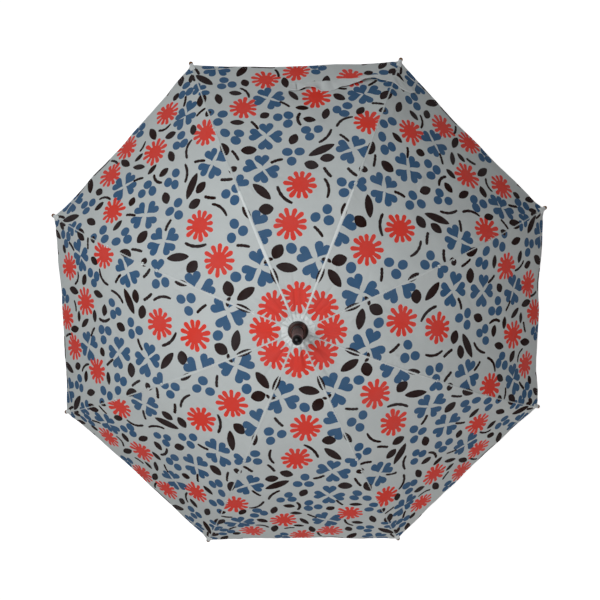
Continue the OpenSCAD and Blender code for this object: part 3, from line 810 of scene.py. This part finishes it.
def hem_stitches(gore, side):
    """Stitches along the hem of half a panel."""
    places = []
    for x in np.arange(2.5, float(edge(RIM_CORNER)) - 8, 4.6):
        x = side * x
        y = rim(x) - HEM_W - 0.2
        p, q = surface(gore, x + 1, rim(x + 1) - HEM_W, 0), surface(gore, x - 1, rim(x - 1) - HEM_W, 0)
        places.append((surface(gore, x, y, HEM_HALF_T * 0.75), p - q, normals(gore, x, y)))
    return thread_marks(places, 1.4)


def pocket_mesh(rib):
    """Folded cloth corner, sewn as a sleeve over the end of the rib."""
    sections = []
    for k in range(12):
        t = k / 11
        phi = TIP_PHI - (26 - 20.4 * t) / BEND_R
        wide = 8.5 - 5.0 * t ** 0.7 + 0.3 * math.sin(5 * k) * (1 - t)
        top, bottom = 4.2 - 0.7 * t * t, -1.2 - 2.4 * min(1, 1.6 * t)
        ring = []
        for j in range(20):
            a = j * math.tau / 20
            side = wide * math.copysign(abs(math.cos(a)) ** 0.8, math.cos(a))
            up = (top + bottom) / 2 + (top - bottom) / 2 * math.sin(a) - TAN * abs(side) * (1 - t)
            pleat = 1 + 0.035 * math.cos(6 * a + rib)
            ring.append(rib_frame(rib, phi, side * pleat, up))
        sections.append(ring)
    return loft([s[::-1] for s in sections])


def binding_mesh(rib):
    """Thread wound round the neck of the tip pocket."""
    parts = []
    for turn in range(4):
        phi = TIP_PHI - (9.4 - 0.75 * turn) / BEND_R
        sections = []
        for k in range(24):
            a = k * math.tau / 24
            ring = []
            for j in range(6):
                b = j * math.tau / 6
                r = 3.75 + 0.36 * math.cos(b)
                turned = phi + 0.38 * math.sin(b) / BEND_R
                ring.append(rib_frame(rib, turned, r * math.cos(a), 0.05 + r * math.sin(a)))
            sections.append(ring)
        parts.append(loft(sections, wrap=True))
    points, faces, _ = joined(parts)
    return points, faces


# How far out from the shaft the ties are, and how much larger their outside is than their inside
TIE_RHOS = (75.0, 150.0, PIVOT_RHO - 14, PIVOT_RHO + 14, 350.0, 430.0)
TIE_OUT = 1.17


def tie_mesh(rib):
    """Narrow tapes that tie the canopy to its rib."""
    parts = []
    for rho in TIE_RHOS:
        phi = math.asin(rho / BEND_R)
        sections = []
        for k in range(24):
            a = (k + 0.5) * math.tau / 24
            side = 2.35 * math.copysign(abs(math.cos(a)) ** 0.35, math.cos(a))
            up = 0.2 + 2.3 * math.copysign(abs(math.sin(a)) ** 0.35, math.sin(a))
            wide = (2.1 + 0.25 * math.sin(3 * a)) / BEND_R
            sections.append([rib_frame(rib, phi - wide, side, up), rib_frame(rib, phi + wide, side, up),
                             rib_frame(rib, phi + wide, side * TIE_OUT, up * TIE_OUT),
                             rib_frame(rib, phi - wide, side * TIE_OUT, up * TIE_OUT)])
        parts.append(loft([s[::-1] for s in sections], wrap=True))
    points, faces, _ = joined(parts)
    return points, faces


def crown_patch(white):
    """Gathered round of cloth that is clamped under the cup."""
    inner, outer, spokes = 5.5, 20.5, 144
    sections = []
    for k in range(spokes):
        a = k * math.tau / spokes
        top, bottom = [], []
        for t in np.linspace(0, 1, 12):
            r = inner + (outer + 0.6 * math.sin(9 * a) - inner) * t
            fold = 0.34 * t * math.cos(30 * a + 1.4 * math.sin(4 * a)) * (1 if t < 0.95 else 0.4)
            z = BEND_Z + math.sqrt(CLOTH_R ** 2 - r * r) + 0.55 * t + 0.35 + fold - 0.35 * max(0, t - 0.9) * 10
            top.append((r * math.cos(a), r * math.sin(a), min(z, CUP_Z - 1.15) if r < 14.3 else z))
            bottom.append((r * math.cos(a), r * math.sin(a), min(z, CUP_Z - 1.15) - 0.35 if r < 14.3 else z - 0.35))
        sections.append(top + bottom[::-1])
    points, faces = loft([s[::-1] for s in sections], wrap=True)
    uv = points[:, :2] * MM
    patch = mesh_object("crown_patch", points, faces, [white], uvs=uv)
    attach(patch, "root")


# ---------------------------------------------------------------- closure strap
# (x, y, tilt) of the strap's middle on the second panel: millimetres, and degrees of its rim side above the cloth
STRAP_LINE = [(-13, 437, -18), (-4, 435, 5), (6, 438, -12), (19, 436.5, -29), (31, 438.5, -21), (39, 438, -10),
              (52, 435, 11), (62, 439, 3), (71, 442, -8), (81, 443, -10), (94, 443.5, -13), (106, 446, -28),
              (119, 451, -29), (131, 454, -27), (141, 455, -21), (153, 454.5, -16), (164, 452, -11), (176, 451, -8),
              (192, 455, -13), (206, 460, -21), (219, 467, -29)]
STRAP_HALF = 11.0
_ahead = np.concatenate([[0], np.cumsum([math.dist(a[:2], b[:2]) for a, b in zip(STRAP_LINE, STRAP_LINE[1:])])])
STRAP_L = float(_ahead[-1])


def strap_middle(d):
    """Smoothed (x, y, tilt) at d millimetres along the strap."""
    near = [d + k for k in (-7, -4, 0, 4, 7)]
    return [float(np.mean(np.interp(near, _ahead, values))) for values in zip(*STRAP_LINE)]


def strap_half(d):
    return STRAP_HALF * (1 - 0.45 * max(0, (d - 205) / 35) ** 1.5 - 0.06 * math.exp(-d / 8))


def strap_point(d, u, lift):
    """Point of the strap at d along it and u from -1 to 1 across it, lifted from its own face."""
    x, y, tilt = strap_middle(d)
    before, after = strap_middle(d - 2), strap_middle(d + 2)
    ahead = Vector((after[0] - before[0], after[1] - before[1])).normalized()
    tilt, half = math.radians(tilt), strap_half(d)
    curl = 0.9 * math.sin(0.13 * d + 1) * (u * u - 0.3) + 0.35 * math.sin(0.31 * d + 2.2 * u)
    flat = u * half * math.cos(tilt) - (lift + curl) * math.sin(tilt)
    high = 1.7 + half * abs(math.sin(tilt)) + u * half * math.sin(tilt) + (lift + curl) * math.cos(tilt)
    x, y, high = x - flat * ahead.y, y + flat * ahead.x, max(high, 0.85)
    wide = float(edge(y))
    return surface(2, x, y, high) if x <= wide else surface(1, -wide + (x - wide), y, high)


def strap_band(start, end, across, lift, half_t):
    """Closed band of the strap's own shape, from start to end millimetres along it."""
    columns = [across * u for u in (-1, -0.96, -0.8, -0.68, -0.35, 0, 0.35, 0.68, 0.8, 0.96, 1)]
    thick = [half_t * (1.7 if abs(u) > 0.75 * across else 1) for u in columns]
    sections = []
    for d in np.linspace(start, end, max(6, round((end - start) / 2.4))):
        top = [strap_point(d, u, lift + h) for u, h in zip(columns, thick)]
        low = [strap_point(d, u, lift - h) for u, h in zip(columns, thick)]
        sections.append(top + low[::-1])
    return loft([s[::-1] for s in sections])


def strap(white, thread):
    """The closure strap with its edge stitches and its sewn-on tab."""
    points, faces = strap_band(0, STRAP_L, 1, 0, 0.3)
    uv = np.array([(k // 22 * 0.0024, k % 22 * 0.0018) for k in range(len(points))])
    band = mesh_object("closure_strap", points, faces, [white], uvs=uv)
    places = []
    for u in (-0.72, 0.72):
        for d in np.arange(4, STRAP_L - 4, 4.4):
            place, up = strap_point(d, u, 0.42), strap_point(d, u, 2.4) - strap_point(d, u, 0.4)
            places.append((place, strap_point(d + 1, u, 0.4) - place, up / np.linalg.norm(up)))
    sewing = mesh_object("strap_stitches", *thread_marks(places), [thread])
    tab = mesh_object("strap_tab", *strap_band(-3, 15, 0.9, 1.2, 0.35), [white])
    for piece in (band, sewing, tab):
        follow(piece, 2)
    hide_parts("strap")


# ---------------------------------------------------------------- frame finishes
def paint(names, material):
    for name in names:
        data = frame["nodes"][name].data
        data.materials.clear()
        data.materials.append(material)


def numbered(*names):
    return [f"{n}_{i}" for n in names for i in range(1, RIBS + 1)]


def paint_frame():
    """Finishes of the CAD pieces that show. The spike's shade stops are (millimetres above the cup's rim, how light
    the wood is): painted shade, darker next to the cup's rim and in the turned groove.
    """
    # Painted shade: the spike's wood is darkened next to the cup's rim and in the turned groove 10 to 12 mm above it.
    painted_groove_shade = [(0, 0.25), (3.6, 0.45), (5.2, 1), (9.4, 0.8), (10.2, 0.12), (12.2, 0.12), (13.2, 0.8), (30, 1.1)]
    spike_wood = wood("spike_wood", linear(26, 11, 10), linear(60, 32, 28), linear(116, 80, 72),
                      wear_and_painted_shade=[((CUP_Z + z) * MM, v) for z, v in painted_groove_shade])
    dark_wood = wood("dark_wood", linear(26, 11, 10), linear(58, 30, 26), linear(112, 76, 68))
    shaft_wood = wood("shaft_wood", linear(34, 16, 13), linear(62, 33, 26), linear(98, 62, 48), 0.04, 0.2)
    paint(["spike"], spike_wood)
    paint(["handle"], dark_wood)
    paint(["shaft"], shaft_wood)
    paint(["spike_cap"], moulded("black_plastic", linear(6, 6, 7), linear(15, 15, 16), (0.3, 0.42), 0.0))
    paint(["top_washer"], felted("black_felt", linear(20, 20, 21), linear(52, 51, 52)))
    paint(numbered("rib_tip"), moulded("amber_plastic", linear(104, 62, 22), linear(146, 100, 46), (0.2, 0.36), 0.2))
    paint(numbered("rib", "rib_joint", "stretcher"), plated("steel", linear(198, 200, 203), linear(160, 161, 164)))
    turned = plated("steel_turned", linear(204, 204, 205), linear(170, 169, 168), (0.1, 0.1, 1))
    paint(["notch", "notch_wire", "notch_pin", "stop_pin", "top_catch", "top_catch_pin", "hand_catch",
           "hand_catch_pin", "runner", "runner_wire", "collar"], turned)


# ---------------------------------------------------------------- floor, light and camera
def floor():
    s = Shader("floor", Emission_Strength=0.85, Emission_Color=(1, 1, 1, 1))
    cloud = s.noise(s.place(), 3, 4.0)
    material = s.finish(s.ramp(cloud, [(0.3, (0.86, 0.86, 0.86)), (0.7, (0.9, 0.9, 0.9))]), s.range(cloud, 0.6, 0.7),
                        cloud, 0.0005, 0.2)
    size, gap = 8000, 4
    z = CAD_BOX[0].z / MM - gap
    plane = mesh_object("floor", [(-size, -size, z), (size, -size, z), (size, size, z), (-size, size, z)],
                        [(0, 1, 2, 3)], [material])


LIT_POINT = (0, 0, 0.5)


def area_light(name, place, size, power, colour):
    """A round lamp that faces the canopy; metres and watts."""
    data = bpy.data.lights.new(name, "AREA")
    data.shape = "DISK"
    data.size = size
    data.energy = power
    data.color = colour
    made = bpy.data.objects.new(name, data)
    made.location = place
    made.rotation_mode = "QUATERNION"
    made.rotation_quaternion = (Vector(LIT_POINT) - Vector(place)).to_track_quat("-Z", "Y")
    bpy.context.scene.collection.objects.link(made)


def studio():
    """Two soft lamps, and a pale backdrop that lights nothing itself."""
    world = bpy.data.worlds.new("studio")
    world.use_nodes = True
    back = world.node_tree.nodes["Background"]
    back.inputs["Color"].default_value = (0.93, 0.96, 1.0, 1)
    back.inputs["Strength"].default_value = 0.8
    bpy.context.scene.world = world
    world.cycles_visibility.diffuse = False
    world.cycles_visibility.glossy = False
    bpy.context.scene.view_settings.view_transform = "Standard"
    area_light("wide", place=(0.95, -2.0, 1.9), size=1.3, power=15.5, colour=(1.0, 0.98, 0.97))
    area_light("main", place=(-0.42, 0.32, 1.8), size=0.7, power=11.6, colour=(0.96, 0.99, 1.0))


def camera():
    """Looks down on the spike from 1.1 m above the tips, a little tilted."""
    distance, aside = 1.1, (0.001, 0.024)
    tilt_x, tilt_y, roll = math.radians(6.90), math.radians(-0.61), math.radians(-0.8)
    turn = (Matrix.Rotation(tilt_y, 4, "Y") @ Matrix.Rotation(tilt_x, 4, "X")).transposed()
    middle = Vector((0, 0, (BEND_Z + math.sqrt(BEND_R ** 2 - OPEN_R ** 2)) * MM))
    data = bpy.data.cameras.new("camera")
    data.sensor_width = 36
    data.lens = 34.36
    made = bpy.data.objects.new("camera", data)
    spin = Matrix.Rotation(roll, 4, "Z")
    made.matrix_world = Matrix.Translation(middle) @ spin @ turn @ Matrix.Translation((*aside, distance))
    bpy.context.scene.collection.objects.link(made)
    bpy.context.scene.camera = made


def build():
    camera()
    white = woven("white_cloth", WHITE, GREY)
    tape = woven("strap_cloth", linear(228, 231, 230), GREY)
    thread = spun("thread", linear(232, 235, 235), linear(196, 202, 205))
    canopy(cloth_materials(), white, tape, thread)
    crown_patch(white)
    strap(tape, thread)
    paint_frame()
    floor()
    studio()


build()
